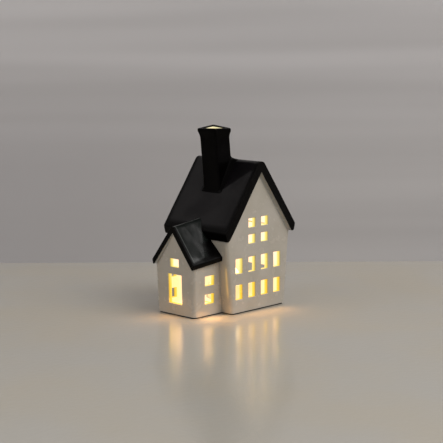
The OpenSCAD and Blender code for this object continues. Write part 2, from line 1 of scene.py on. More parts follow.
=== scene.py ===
import math
import bmesh
import bpy
from mathutils import Matrix, Vector, noise


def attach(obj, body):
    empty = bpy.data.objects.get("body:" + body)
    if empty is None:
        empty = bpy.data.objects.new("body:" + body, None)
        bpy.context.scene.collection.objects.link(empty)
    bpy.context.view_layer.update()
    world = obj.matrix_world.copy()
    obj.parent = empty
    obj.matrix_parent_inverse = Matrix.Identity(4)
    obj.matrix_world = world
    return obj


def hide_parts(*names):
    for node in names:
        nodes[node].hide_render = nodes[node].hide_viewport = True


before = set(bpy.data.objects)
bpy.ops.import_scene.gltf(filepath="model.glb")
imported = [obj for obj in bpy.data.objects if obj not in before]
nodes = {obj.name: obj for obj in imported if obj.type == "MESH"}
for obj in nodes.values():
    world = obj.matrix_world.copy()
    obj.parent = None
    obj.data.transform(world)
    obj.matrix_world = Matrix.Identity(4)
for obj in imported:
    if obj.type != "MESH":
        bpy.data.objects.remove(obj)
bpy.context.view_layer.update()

mm = 0.001

# Sizes of the house in millimetres: the ridge runs along Y, and heights start at the table
house = dict(ridgeX=11.25, halfWidth=29.1, halfDepth=30.2, wall=3.8, lean=5.8, foot=1, corner=2.6,
             ridge=111.8, pitch=54.6, ridgeRound=4.7, slab=6.5)
annex = dict(front=57.7, reach=60.3, halfWidth=19.7, lean=1.3, ridge=66.2, backRidge=70, pitch=51.8,
             backPitch=47.5, slab=3.8, ridgeRound=2.75, eaveRound=1.3, eaveRun=1, eaveReach=21.9,
             spread=3, back=31.2, cut=31.5)


def tan(degrees):
    return math.tan(math.radians(degrees))


def cos(degrees):
    return math.cos(math.radians(degrees))


def sin(degrees):
    return math.sin(math.radians(degrees))


def place(x, y, z):
    # a point given in millimetres from the ridge line, the middle of the house and the table
    return Vector((house["ridgeX"] + x, y, z)) * mm


roofPoint = house["ridge"] + house["ridgeRound"] * (1 / cos(house["pitch"]) - 1)
atticPoint = roofPoint - house["slab"] / cos(house["pitch"])

camera = dict(azimuth=-45.62, elevation=8.66, roll=-0.2446, distance=0.988, lens=105.64, sensor=36,
              near=0.05, far=20, aim=(0.006346, 0.004029, 0.063755))


def towards(azimuth, elevation):
    # the direction from the house to a viewer or a light, by its angles in degrees
    return Vector((sin(azimuth) * cos(elevation), -cos(azimuth) * cos(elevation), sin(elevation)))


def makeCamera(s):
    data = bpy.data.cameras.new("camera")
    data.lens, data.sensor_width = s["lens"], s["sensor"]
    data.clip_start, data.clip_end = s["near"], s["far"]
    cam = bpy.data.objects.new("camera", data)
    bpy.context.scene.collection.objects.link(cam)
    back = towards(s["azimuth"], s["elevation"])
    cam.location = Vector(s["aim"]) + back * s["distance"]
    cam.rotation_mode = "QUATERNION"
    turn = Matrix.Rotation(math.radians(s["roll"]), 3, "Z").to_quaternion()
    cam.rotation_quaternion = (-back).to_track_quat("-Z", "Y") @ turn
    bpy.context.scene.camera = cam


makeCamera(camera)
print("camera placed")


class Val:
    # an output socket that adds Math nodes when it is used in an expression
    def __init__(self, paint, socket):
        self.paint, self.socket = paint, socket

    def math(self, operation, *values):
        return self.paint.node("Math", {"operation": operation}, *values)

    def __add__(self, other):
        return self.math("ADD", self, other)

    def __sub__(self, other):
        return self.math("SUBTRACT", self, other)

    def __rsub__(self, other):
        return self.math("SUBTRACT", other, self)

    def __mul__(self, other):
        return self.math("MULTIPLY", self, other)

    def __truediv__(self, other):
        return self.math("DIVIDE", self, other)

    def __abs__(self):
        return self.math("ABSOLUTE", self)

    def root(self):
        return self.math("SQRT", self)

    def least(self, other):
        return self.math("MINIMUM", self, other)

    def most(self, other):
        return self.math("MAXIMUM", self, other)

    def between(self, low, high):
        # 0 below low and 1 above high, smooth in between
        settings = {"interpolation_type": "SMOOTHSTEP"}
        return self.paint.node("MapRange", settings, self, low, high, 0, 1)

    def ramp(self, *stops):
        # a colour that changes along the value; each stop is a place and a colour
        return self.paint.node("ValToRGB", {"stops": stops}, self)


class Paint:
    # the nodes of one material, or of the world
    def __init__(self, owner, shader="Principled BSDF"):
        owner.use_nodes = True
        self.owner, self.tree = owner, owner.node_tree
        self.shader = self.tree.nodes[shader]
        self.place = self.node("TexCoord", {}, output="Object")

    def node(self, kind, settings, *values, output=0, **named):
        made = self.tree.nodes.new("ShaderNode" + kind)
        for key, value in settings.items():
            if key == "stops":
                self.setStops(made.color_ramp, list(value))
            else:
                setattr(made, key, value)
        byName = [(made.inputs[key], value) for key, value in named.items()]
        for socket, value in [*zip(made.inputs, values), *byName]:
            self.join(socket, value)
        return Val(self, made.outputs[output])

    def setStops(self, ramp, stops):
        while len(ramp.elements) < len(stops):
            ramp.elements.new(1)
        for element, (position, tint) in zip(ramp.elements, stops):
            element.position, element.color = position, tint

    def join(self, socket, value):
        if isinstance(value, Val):
            self.tree.links.new(value.socket, socket)
        elif value is not None:
            socket.default_value = value

    def axes(self):
        apart = self.node("SeparateXYZ", {}, self.place).socket.node
        return [Val(self, out) for out in apart.outputs]

    def clouds(self, size, detail=2.0, roughness=0.5, stretch=None):
        # soft noise from 0 to 1, with features about size metres across
        spot = self.place
        if stretch:
            spot = self.node("Mapping", {}, self.place, Scale=stretch)
        return self.node("TexNoise", {}, Vector=spot, Scale=1 / size, Detail=detail,
                         Roughness=roughness)

    def blend(self, factor, first, second):
        # the Mix node's colours have sockets 6 and 7, and their result has output 2
        made = self.tree.nodes.new("ShaderNodeMix")
        made.data_type = "RGBA"
        for index, value in ((0, factor), (6, first), (7, second)):
            self.join(made.inputs[index], value)
        return Val(self, made.outputs[2])

    def relief(self, height, depth, strength=1.0, under=None):
        # a bumpy skin, as deep as depth metres, on top of the one that lies under it
        return self.node("Bump", {}, Height=height, Distance=depth, Strength=strength, Normal=under)

    def finish(self, **sockets):
        for key, value in sockets.items():
            self.join(self.shader.inputs[key.replace("_", " ")], value)
        return self.owner


def colour(red, green, blue):
    # a colour as it is seen, from 0 to 255, made linear
    def straight(c):
        c /= 255
        return c / 12.92 if c <= 0.04045 else ((c + 0.055) / 1.055) ** 2.4
    return (straight(red), straight(green), straight(blue), 1)


# just below a roof the depth starts again, this many millimetres under it and so much faster
ceiling = dict(gap=0.35, rate=4)


def insideCorner(first, second):
    # depth behind two walls that meet in a rounded upright corner
    radius = house["corner"]
    a, b = (radius - first).most(0), (radius - second).most(0)
    return radius - (a * a + b * b).root() + (first.least(second) - radius).most(0)


def depthInside(paint, underRoofs):
    # how deep a point lies behind the outer faces: 0 outside, 1 at the room's face of the wall
    x, y, z = paint.axes()
    x, y, z = x / mm - house["ridgeX"], abs(y / mm), z / mm
    half = (z - house["foot"]) * tan(house["lean"]) + house["halfWidth"]
    main = insideCorner(half - abs(x), house["halfDepth"] - y)
    grown = (z - house["foot"]) * tan(annex["lean"])
    side = insideCorner(x + annex["front"] + grown, annex["halfWidth"] - y + grown)
    side = side.least(house["wall"] - house["halfWidth"] - x)
    if underRoofs:
        sidePoint = annex["ridge"] + annex["ridgeRound"] * (1 / cos(annex["pitch"]) - 1)
        sidePoint -= annex["slab"] / cos(annex["pitch"])
        gap, rate = ceiling["gap"], ceiling["rate"]
        main = main.least((atticPoint - gap - abs(x) * tan(house["pitch"]) - z) * rate)
        side = side.least((sidePoint - gap - y * tan(annex["pitch"]) - z) * rate)
    return main.most(side) / house["wall"]


# the lamp's light colours the walls: deep and fair give its tints from a window's outer edge to the
# room, low down beside the lamp and higher up; sizes and places here are in metres
whiteGlaze = dict(pale=colour(190, 183, 172), warm=colour(182, 175, 162), mottleSize=0.018,
                  mottle=(0.35, 0.7), speck=colour(132, 116, 96), speckScale=260.0,
                  speckSize=(0.02, 0.05), speckShare=0.4, patchSize=0.0045, patch=(0.7, 0.74),
                  rippleSize=0.009, ripple=(0.0005, 0.12), grainSize=0.0011, grain=(0.00003, 0.5),
                  litJamb=colour(122, 96, 52), roughness=0.2, unevenSize=0.006, uneven=0.12,
                  coat=0.35, coatRoughness=0.08, glow=1.0, floor=(0.0036, 0.0056),
                  rooms=(0.92, 1.0), inner=(0.05, 0.2),
                  height=(0.02, 0.036), places=(0.07, 0.13, 0.5, 0.92, 1.0),
                  deep=((0, 0, 0, 1), (0.42, 0.3, 0.02, 1), (0.95, 0.6, 0.04, 1),
                        (1.15, 0.7, 0.08, 1), (1.3, 0.86, 0.46, 1)),
                  fair=((0, 0, 0, 1), (0.38, 0.34, 0.05, 1), (0.8, 0.7, 0.16, 1),
                        (1.0, 0.82, 0.3, 1), (1.25, 0.89, 0.66, 1)),
                  sideRoom=(1.3, 0.84, 0.38, 1), sideRoomX=(-0.03, -0.024),
                  sideRoomY=(0.009, 0.015), sideRoomZ=(0.027, 0.035),
                  streak=(0.27, 0.15, 0.016, 1), streakX=(-0.0175, -0.0165),
                  streakY=(-0.0288, -0.0273, -0.0252), streakLow=(0.009, 0.02),
                  streakHigh=(0.031, 0.038))


def makeWhiteGlaze(name, s, underRoofs=True):
    paint = Paint(bpy.data.materials.new(name))
    mottle = paint.clouds(s["mottleSize"], detail=3).between(*s["mottle"])
    base = paint.blend(mottle, s["pale"], s["warm"])
    dots = paint.node("TexVoronoi", {}, Vector=paint.place, Scale=s["speckScale"])
    patch = paint.clouds(s["patchSize"], detail=0).between(*s["patch"])
    speck = (1 - dots.between(*s["speckSize"])) * patch
    base = paint.blend(speck * s["speckShare"], base, s["speck"])
    ripple = paint.relief(paint.clouds(s["rippleSize"], detail=1, roughness=0.4), *s["ripple"])
    normal = paint.relief(paint.clouds(s["grainSize"]), *s["grain"], ripple)
    x, y, z = paint.axes()
    lit = depthInside(paint, underRoofs) * z.between(*s["floor"])
    if not underRoofs:
        lit = lit.between(*s["rooms"])
    inner = lit.between(*s["inner"])
    shades = [lit.ramp(*zip(s["places"], s[k])) for k in ("deep", "fair")]
    shade = paint.blend(z.between(*s["height"]), *shades)
    # the lamp's glow painted on the annex's far wall, low down, is paler than in the other rooms
    far = y.between(*s["sideRoomY"]) * (1 - x.between(*s["sideRoomX"])) * lit.between(*s["rooms"])
    far = far * (1 - z.between(*s["sideRoomZ"]))
    shade = paint.blend(far, shade, s["sideRoom"])
    # the light of the annex's windows on the rounded corner beside them
    front, middle, back = s["streakY"]
    beside = y.between(front, middle) * (1 - y.between(middle, back))
    beside = beside * (1 - x.between(*s["streakX"]))
    beside = beside * z.between(*s["streakLow"]) * (1 - z.between(*s["streakHigh"]))
    shade = paint.blend(beside * (1 - inner), shade, s["streak"])
    uneven = paint.clouds(s["unevenSize"]) * s["uneven"]
    # painted light: inside the openings the base turns a darker orange, so that the painted lamp
    # glow there stays deep yellow
    return paint.finish(Base_Color=paint.blend(inner, base, s["litJamb"]), Normal=normal,
                        Roughness=uneven + s["roughness"],
                        Coat_Weight=(1 - inner) * s["coat"], Coat_Roughness=s["coatRoughness"],
                        Emission_Color=shade, Emission_Strength=s["glow"])


# a darker, greyer copy of the white glaze for the roofs' undersides and the coves: painted shade
soffitShadedGlaze = dict(whiteGlaze, pale=colour(168, 167, 161), warm=colour(161, 159, 153))
# bands are painted darkness along the rakes and eaves, which stands in for the dark that they
# mirror,
# and there the coat is left off: the axis and its two distances from the middle in millimetres; the
# sizes of the marks are in metres
blackGlaze = dict(deep=colour(12, 10, 12), brown=colour(19, 15, 17), edge=colour(4, 3, 3),
                  brownSize=0.02, brownAt=(0.5, 0.8), brownShare=0.6, roughness=0.25,
                  unevenSize=0.008, uneven=0.1, shine=0.07, coat=(0.27, 0.42), coatAt=(0.38, 0.6),
                  coatRoughness=0.09, streak=0.02, stretch=(1, 1, 1), rippleSize=0.014,
                  rippleDepth=0.0008, ripple=0.35, grainSize=0.0016, grain=(0.00004, 0.35),
                  bands=((1, 28.5, 31.6), (0, 33.6, 36.4)))
# the annex roof's copy is painted a little lighter and greener than the black glaze, as painted
# reflection
sideGlaze = dict(blackGlaze, deep=colour(15, 19, 17), brown=colour(22, 26, 24), coat=(0.24, 1.0),
                 darkReflection=(46.5, 43, 12.5, 14.5), runSize=0.005, run=7, runAcross=0.5,
                 join=(41, 35.5), joinDull=0.5, crest=(0.25, 0.7), under=(2.2, 3.4),
                 line=colour(64, 67, 65), lineAt=58.3, lineWidth=(0.2, 0.5), fade=(59.5, 46),
                 fadeTo=0.3, coatRoughness=0.05, streak=0.006, stretch=(1, 0.3, 0.3), ripple=1.8,
                 bands=((0, 58.6, 59.4), (1, 20.0, 21.4)))
# a near black, less glossy copy of the black glaze for the chimney: painted shade
chimneyShadedGlaze = dict(blackGlaze, deep=colour(3, 2, 2), brown=colour(6, 4, 5), shine=0.02,
                 coat=(0.04, 0.08), bands=())


def makeBlackGlaze(name, s):
    paint = Paint(bpy.data.materials.new(name))
    brown = paint.clouds(s["brownSize"], detail=4, roughness=0.6).between(*s["brownAt"])
    base = paint.blend(brown * s["brownShare"], s["deep"], s["brown"])
    wave = paint.clouds(s["rippleSize"], detail=1, roughness=0.4)
    ripple = paint.relief(wave, s["rippleDepth"], s["ripple"])
    normal = paint.relief(paint.clouds(s["grainSize"]), *s["grain"], ripple)
    low, high = s["coat"]
    sheen = paint.clouds(s["streak"], stretch=s["stretch"]).between(*s["coatAt"])
    sheen = sheen * (high - low) + low
    x, y, z = paint.axes()
    spots = abs(x / mm - house["ridgeX"]), abs(y / mm)
    if "darkReflection" in s:
        # a pale line painted along the ridge and beside the rake is a painted highlight; a dark
        # patch without coat above one eave is a painted reflection of the main roof's eave; the
        # coat is less where the roof joins the main one
        out, inside, low, high = s["darkReflection"]
        ridge = 1 - spots[1].between(*s["crest"])
        rake = 1 - abs(spots[0] - s["lineAt"]).between(*s["lineWidth"])
        base = paint.blend(ridge.most(rake), base, s["line"])
        below = spots[1].between(*s["crest"]) * (1 - spots[1].between(*s["under"]))
        fade = spots[0].between(*s["fade"]) * (1 - s["fadeTo"]) + s["fadeTo"]
        sheen = (sheen * fade).most(ridge) * (1 - below)
        run = (paint.clouds(s["runSize"], roughness=0.6) - 0.5) * s["run"]
        darkReflection = (spots[0] + run).between(out, inside)
        darkReflection = darkReflection * (spots[1] + run * s["runAcross"]).between(low, high)
        darkReflection = darkReflection * (1 - (y / mm).between(-high, -low))
        sheen = sheen * (1 - darkReflection) * (1 - spots[0].between(*s["join"]) * s["joinDull"])
        base = paint.blend(darkReflection, base, s["edge"])
    # painted darkness along the rakes and eaves, with the coat left off there
    for axis, start, stop in s["bands"]:
        band = spots[axis].between(start, stop)
        base, sheen = paint.blend(band, base, s["edge"]), sheen * (1 - band)
    uneven = paint.clouds(s["unevenSize"]) * s["uneven"]
    return paint.finish(Base_Color=base, Roughness=uneven + s["roughness"], Normal=normal,
                        Specular_IOR_Level=s["shine"], Coat_Weight=sheen,
                        Coat_Roughness=s["coatRoughness"])


flueClay = dict(clay=colour(214, 200, 172), dark=colour(190, 176, 148), patchSize=0.003,
                roughness=0.75, low=(1.0, 0.85, 0.42, 1), high=(0.45, 0.46, 0.3, 1),
                height=(0.085, 0.136), glow=0.9, grainSize=0.0012, grain=(0.0001, 0.6))


def makeFlueClay(s):
    paint = Paint(bpy.data.materials.new("flue_clay"))
    base = paint.blend(paint.clouds(s["patchSize"], detail=3), s["clay"], s["dark"])
    # painted glow: the lamp's light up the bore, bright low down and dimmer towards the top
    shade = paint.blend(paint.axes()[2].between(*s["height"]), s["low"], s["high"])
    grain = paint.relief(paint.clouds(s["grainSize"], detail=3), *s["grain"])
    return paint.finish(Base_Color=base, Roughness=s["roughness"], Normal=grain,
                        Emission_Color=shade, Emission_Strength=s["glow"])


white = makeWhiteGlaze("white_glaze", whiteGlaze)
shadedSoffit = makeWhiteGlaze("soffit_glaze", soffitShadedGlaze, underRoofs=False)
black = makeBlackGlaze("roof_glaze", blackGlaze)
sideBlack = makeBlackGlaze("annex_roof_glaze", sideGlaze)
shadedChimney = makeBlackGlaze("chimney_glaze", chimneyShadedGlaze)
clay = makeFlueClay(flueClay)
print("glazes mixed")

wander = dict(low=12 * mm, high=40 * mm, amount=0.28 * mm, size=26 * mm, seed=1)
# the wander is the same on every run
noise.seed_set(wander["seed"])
# how near a point counts as lying on a cutting plane, in metres
onPlane = 0.00001
# points this near, in millimetres, become one, and faces this flat, in degrees, become one
weld = dict(gap=0.004, flat=0.7)
# edges that turn by more degrees than this stay crisp
shading = dict(sharp=58, weight=80)


def warped(point, s=wander):
    # the slow wander of cast clay, with none near the foot, where the lamp fits
    share = min(1, max(0, (point.z - s["low"]) / (s["high"] - s["low"])))
    return point + noise.noise_vector(point / s["size"]) * s["amount"] * share


def sliced(mesh, step=5 * mm, axes=(0, 1, 2)):
    # cuts the faces along a grid, so that the clay can wander
    for axis in axes:
        values = [v.co[axis] for v in mesh.verts]
        low, high = min(values), max(values)
        count = int((high - low) / step)
        for i in range(1, count):
            point, direction = Vector(), Vector()
            point[axis] = low + (high - low) * i / count
            direction[axis] = 1
            bmesh.ops.bisect_plane(mesh, geom=mesh.verts[:] + mesh.edges[:] + mesh.faces[:],
                                   dist=onPlane, plane_co=point, plane_no=direction)


def finished(name, mesh, materials, stands=(), body="house", warp=True):
    # turns the mesh into a piece that rides on its body
    for vert in mesh.verts if warp else ():
        vert.co = warped(vert.co)
    for face in mesh.faces:
        face.smooth = True
    for edge in sharpEdges(mesh, shading["sharp"]):
        edge.smooth = False
    data = bpy.data.meshes.new(name)
    mesh.to_mesh(data)
    mesh.free()
    piece = bpy.data.objects.new(name, data)
    bpy.context.scene.collection.objects.link(piece)
    for material in materials:
        data.materials.append(material)
    normals = piece.modifiers.new("normals", "WEIGHTED_NORMAL")
    normals.weight, normals.keep_sharp = shading["weight"], True
    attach(piece, body)
    if stands:
        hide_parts(*stands)
    print("made", name, len(data.polygons))


def welded(node):
    # a copy of a node's mesh, its loose triangles joined and its flat areas made whole
    mesh = bmesh.new()
    mesh.from_mesh(nodes[node].data)
    bmesh.ops.remove_doubles(mesh, verts=mesh.verts, dist=weld["gap"] * mm)
    bmesh.ops.dissolve_limit(mesh, angle_limit=math.radians(weld["flat"]), verts=mesh.verts,
                             edges=mesh.edges)
    return mesh


def rounded(mesh, edges, radius, segments=3):
    # rounds edges by a radius in millimetres
    if edges:
        bmesh.ops.bevel(mesh, geom=edges, offset=radius * mm, offset_type="OFFSET",
                        segments=segments, profile=0.5, affect="EDGES", clamp_overlap=True,
                        material=-1)


def sharpEdges(mesh, angle=40):
    # the edges whose two faces turn by more than an angle in degrees
    joints = [e for e in mesh.edges if len(e.link_faces) == 2]
    return [e for e in joints if e.calc_face_angle() > math.radians(angle)]


def underRoof(point):
    # how far a point lies below the underside of the main roof, in millimetres
    return atticPoint - abs(point.x / mm - house["ridgeX"]) * tan(house["pitch"]) - point.z / mm


def underAnnexRoof(point):
    # the same for the underside of the annex roof, whose pitch changes along it
    back = (annex["reach"] + point.x / mm - house["ridgeX"]) / (annex["reach"] - annex["back"])
    pitch = annex["pitch"] + (annex["backPitch"] - annex["pitch"]) * back
    ridge = annex["ridge"] + (annex["backRidge"] - annex["ridge"]) * back
    under = ridge + annex["ridgeRound"] * (1 / cos(pitch) - 1) - annex["slab"] / cos(pitch)
    return under - abs(point.y / mm) * tan(pitch) - point.z / mm


wallFinish = dict(windowRound=0.45, roofClear=0.6, footClear=2, onFace=0.2)


def onLeftFace(point, slack):
    # whether a point lies on the face of the main house that the annex stands against
    half = house["halfWidth"] + (point.z / mm - house["foot"]) * tan(house["lean"])
    return abs(half + point.x / mm - house["ridgeX"]) < slack


def glazedWalls(name, node, below, s):
    # walls with rounded windows; the edges against the roof, the table and the main house stay
    mesh = welded(node)
    foot = house["foot"] * mm
    windows = [e for e in sharpEdges(mesh)
               if below((e.verts[0].co + e.verts[1].co) / 2) > s["roofClear"]
               and min(e.verts[0].co.z, e.verts[1].co.z) > foot + s["footClear"] * mm
               and not all(onLeftFace(v.co, s["onFace"]) for v in e.verts)]
    rounded(mesh, windows, s["windowRound"])
    sliced(mesh)
    finished(name, mesh, [white], [node])


glazedWalls("house_walls_glazed", "house_walls", underRoof, wallFinish)
glazedWalls("annex_walls_glazed", "annex_walls", underAnnexRoof, wallFinish)

# an end face looks along its axis by more than facing, and an underside down by more than down
endFaces = dict(sharp=60, facing=0.9, down=-0.3)
# beadFrom and beadRun are distances from the ridge line; bead is its depth on the left and right
mainRoof = dict(topRound=1.9, lowRound=0.8, segments=4, soffitGap=0.3, beadFrom=34.2, beadRun=1.6,
                bead=(1.3, 0.1))


def rakeEdges(mesh, axis, limit, low):
    # the edges of a roof's end faces, either those on the underside or the others
    picked = []
    for edge in sharpEdges(mesh, endFaces["sharp"]):
        ends = [abs(f.normal[axis]) > endFaces["facing"] for f in edge.link_faces]
        if ends[0] != ends[1] and abs(edge.verts[0].co[axis]) > limit:
            other = edge.link_faces[ends.index(False)]
            if (other.normal.z < endFaces["down"]) == low:
                picked.append(edge)
    return picked


def finishRakes(mesh, axis, limit, below, s, **grid):
    # rounds a roof's end faces, cuts it along a grid, and gives its underside the second finish
    for low, radius in ((False, s["topRound"]), (True, s["lowRound"])):
        rounded(mesh, rakeEdges(mesh, axis, limit, low), radius, s["segments"])
    sliced(mesh, **grid)
    for face in mesh.faces:
        onSoffit = abs(below(face.calc_center_median())) < s["soffitGap"]
        face.material_index = int(onSoffit and face.normal.z < endFaces["down"])


def glazedRoof(s):
    mesh = welded("main_roof")
    finishRakes(mesh, 1, house["halfDepth"] * mm, underRoof, s)
    for vert in mesh.verts:
        # the glaze hangs as a thick bead along the lower corner of the left eave
        share = (abs(vert.co.x / mm - house["ridgeX"]) - s["beadFrom"]) / s["beadRun"]
        low = 1 + underRoof(vert.co) / (roofPoint - atticPoint)
        bead = s["bead"][vert.co.x > house["ridgeX"] * mm]
        vert.co.z -= bead * mm * min(1, max(0, share)) * min(1, max(0, low))
    finished("main_roof_glazed", mesh, [black, shadedSoffit], ["main_roof"])


glazedRoof(mainRoof)

annexRoof = dict(topRound=1.1, lowRound=0.45, segments=3, ridgeSegments=8, eaveSegments=5,
                 soffitGap=0.5, step=4)


def annexOutline(mesh, x, ridge, pitch, reach, s):
    # one end of the annex roof: a chevron with a rounded ridge and rounded eaves
    a = annex
    edge, slab = a["eaveRound"], a["slab"]
    top = ridge + a["ridgeRound"] * (1 / cos(pitch) - 1)
    start = (reach - edge * (1 - sin(pitch))) / cos(pitch)
    tilt = math.degrees(math.atan2(a["eaveRun"], slab - 2 * edge))
    outer = edge * (1 - sin(tilt)) / cos(tilt)
    inner = (edge + (slab - edge) * sin(tilt)) / cos(tilt)

    def onSlope(along, deep):
        return along * cos(pitch) - deep * sin(pitch), top - along * sin(pitch) - deep * cos(pitch)

    right = [onSlope(start + outer, 0), onSlope(start + inner, slab)]
    left = [(-y, z) for y, z in reversed(right)]
    corners = [(0, top), *right, (0, top - slab / cos(pitch)), *left]
    verts = [mesh.verts.new(place(-x, y, z)) for y, z in corners]
    mesh.faces.new(verts)
    ridgeOffset, lowOffset = a["ridgeRound"] * tan(pitch), inner - a["eaveRun"]
    for picked, offset, segments in ((verts[:1], ridgeOffset, s["ridgeSegments"]),
                                     ((verts[1], verts[5]), outer, s["eaveSegments"]),
                                     ((verts[2], verts[4]), lowOffset, s["eaveSegments"])):
        bmesh.ops.bevel(mesh, geom=list(picked), offset=offset * mm, offset_type="OFFSET",
                        segments=segments, profile=0.5, affect="VERTICES", clamp_overlap=True,
                        material=-1)


def trimmed(mesh, point, direction):
    # cuts off what lies beyond a plane, and closes the cut
    cut = bmesh.ops.bisect_plane(mesh, geom=mesh.verts[:] + mesh.edges[:] + mesh.faces[:],
                                 dist=onPlane, plane_co=point, plane_no=direction,
                                 clear_outer=True)
    edges = [e for e in cut["geom_cut"] if isinstance(e, bmesh.types.BMEdge)]
    bmesh.ops.contextual_create(mesh, geom=edges)


def glazedAnnexRoof(s):
    a = annex
    mesh = bmesh.new()
    annexOutline(mesh, a["reach"], a["ridge"], a["pitch"], a["eaveReach"], s)
    annexOutline(mesh, a["back"], a["backRidge"], a["backPitch"], a["eaveReach"] + a["spread"], s)
    bmesh.ops.bridge_loops(mesh, edges=mesh.edges[:])
    trimmed(mesh, place(-a["cut"], 0, 0), Vector((1, 0, 0)))
    bmesh.ops.recalc_face_normals(mesh, faces=mesh.faces)
    wall = -place(-a["front"], 0, 0).x
    finishRakes(mesh, 0, wall, underAnnexRoof, s, step=s["step"] * mm, axes=(0, 1))
    finished("annex_roof_glazed", mesh, [sideBlack, shadedSoffit], ["annex_roof"])


glazedAnnexRoof(annexRoof)

cove = dict(main=1.85, annex=1.05, segments=8, back=3, step=4, mainEnd=32.9, mainLength=70,
            annexEnd=18.8, annexLength=40, annexRise=0.5, annexInset=0.2)


def coveStrip(mesh, apex, slope, under, out, radius, length, cuts, s):
    # a hollow fillet of glaze under a rake: a profile run down the slope and cut at its ends
    strip = bmesh.new()
    start = apex - slope * s["back"] * mm
    first = strip.verts.new(start + out * radius)
    bmesh.ops.spin(strip, geom=[first], cent=start + (out + under) * radius, axis=under.cross(out),
                   angle=math.pi / 2, steps=s["segments"], use_merge=False)
    arc = sorted(strip.verts, key=lambda v: (v.co - first.co).length)
    skin = strip.faces.new([strip.verts.new(start), *arc])
    grown = bmesh.ops.extrude_face_region(strip, geom=[skin])["geom"]
    moved = [g for g in grown if isinstance(g, bmesh.types.BMVert)]
    bmesh.ops.translate(strip, vec=slope * (length + s["back"]) * mm, verts=moved)
    for point, direction in cuts:
        trimmed(strip, point, direction)
    bmesh.ops.recalc_face_normals(strip, faces=strip.faces)
    sliced(strip, s["step"] * mm, (2,))
    held = bpy.data.meshes.new("strip")
    strip.to_mesh(held)
    strip.free()
    mesh.from_mesh(held)
    bpy.data.meshes.remove(held)


def gableCoves(s):
    mesh = bmesh.new()
    pitch = house["pitch"]
    for side in (1, -1):
        slope = Vector((side * cos(pitch), 0, -sin(pitch)))
        under = Vector((-side * sin(pitch), 0, -cos(pitch)))
        cuts = [(place(0, 0, 0), Vector((-side, 0, 0))),
                (place(side * s["mainEnd"], 0, 0), Vector((side, 0, 0)))]
        for front in (1, -1):
            apex = place(0, -front * house["halfDepth"], atticPoint)
            out = Vector((0, -front, 0))
            coveStrip(mesh, apex, slope, under, out, s["main"] * mm, s["mainLength"], cuts, s)
    finished("gable_coves", mesh, [shadedSoffit])


def annexCoves(s):
    mesh = bmesh.new()
    a = annex
    pitch = a["pitch"]
    share = (a["reach"] - a["front"]) / (a["reach"] - a["back"])
    top = a["ridge"] + (a["backRidge"] - a["ridge"]) * share * s["annexRise"]
    top += a["ridgeRound"] * (1 / cos(pitch) - 1) - a["slab"] / cos(pitch)
    out = Vector((-cos(a["lean"]), 0, sin(a["lean"])))
    face = -a["front"] - (top - house["foot"]) * tan(a["lean"])
    apex = place(face + s["annexInset"], 0, top)
    for side in (1, -1):
        slope = Vector((0, side * cos(pitch), -sin(pitch)))
        slope = (slope - out * slope.dot(out)).normalized()
        under = Vector((0, -side * sin(pitch), -cos(pitch)))
        cuts = [(place(0, 0, 0), Vector((0, -side, 0))),
                (place(0, side * s["annexEnd"], 0), Vector((0, side, 0)))]
        coveStrip(mesh, apex, slope, under, out, s["annex"] * mm, s["annexLength"], cuts, s)
    finished("annex_coves", mesh, [shadedSoffit])


gableCoves(cove)
annexCoves(cove)

chimney = dict(x=-11.25, y=0.75, width=15.3, depth=17.1, foot=88.62, top=135.2, leanX=-0.0244,
               leanY=0.0699, flare=1.2, rimHeight=8, rimEdge=2.2, wall=2.1, corner=1.3,
               cornerSegments=4, filletOut=4.8, filletUp=5.2, filletTuck=0.3, filletClear=1,
               lowShare=0.2, filletGrow=5, rimRound=0.75, lip=0.4, lipRound=0.9, lipEnd=6,
               boreShift=0.55, sink=2.2, backRise=1.7, frontDrop=-0.5)


def roofTop(x):
    # height of the main roof's outer face over a point, in millimetres
    flank = house["ridgeRound"] * sin(house["pitch"])
    if abs(x) < flank:
        return house["ridge"] - house["ridgeRound"] + math.sqrt(house["ridgeRound"] ** 2 - x * x)
    return roofPoint - abs(x) * tan(house["pitch"])


def chimneyRows(s):
    # rows of the chimney's skin: how far each stands out, its lift over the roof, its level, and
    # its share of that level; then the first and the last row of the rounded lip
    rows = []
    for turn in (0, 18, 36, 54, 72, 90):
        lift = s["filletUp"] * (1 - cos(turn)) - (s["filletTuck"] if turn == 0 else 0)
        rows.append((s["filletOut"] * (1 - sin(turn)), lift, 0, 0))
    level = roofTop(s["x"] + s["width"] / 2) + s["filletUp"] + s["filletClear"]
    rows += [(0, s["filletUp"], level, share) for share in (0.25, 0.5, 0.75)]
    rimLow = s["top"] - s["rimHeight"]
    rows += [(0, 0, level + (rimLow - level) * share, 1) for share in (0, 0.5, 1)]
    for share in (0.25, 0.5, 0.75, 1):
        height = rimLow + (s["rimHeight"] - s["rimEdge"]) * share
        rows.append((s["flare"] * share ** 2, 0, height, 1))
    bore = -s["wall"]
    rim = (s["flare"], s["rimRound"], (0, 30, 60, 90))
    lip = (bore - s["lip"], s["lipRound"], (90, 68, 45, 22, 0))
    for side, out, curve, turns in ((-1, *rim), (1, *lip)):
        first = len(rows)
        for turn in turns:
            height = s["top"] - curve * (1 - sin(turn))
            rows.append((out + side * curve * (1 - cos(turn)), 0, height, 1))
    last = len(rows) - 1
    rows += [(bore, 0, s["top"] - s["lipEnd"], 1), (bore, 0, level, 1), (bore, -s["sink"], 0, 0)]
    return rows, first, last


def rimWave(x, y, z, s):
    # the rim stands higher at its back corner and dips at its front one
    share = min(1, max(0, (z - s["top"] + s["rimHeight"]) / s["rimHeight"]))
    across = (x / s["width"] + y / s["depth"]) * share ** 2
    return across * (s["backRise"] if across > 0 else s["frontDrop"])


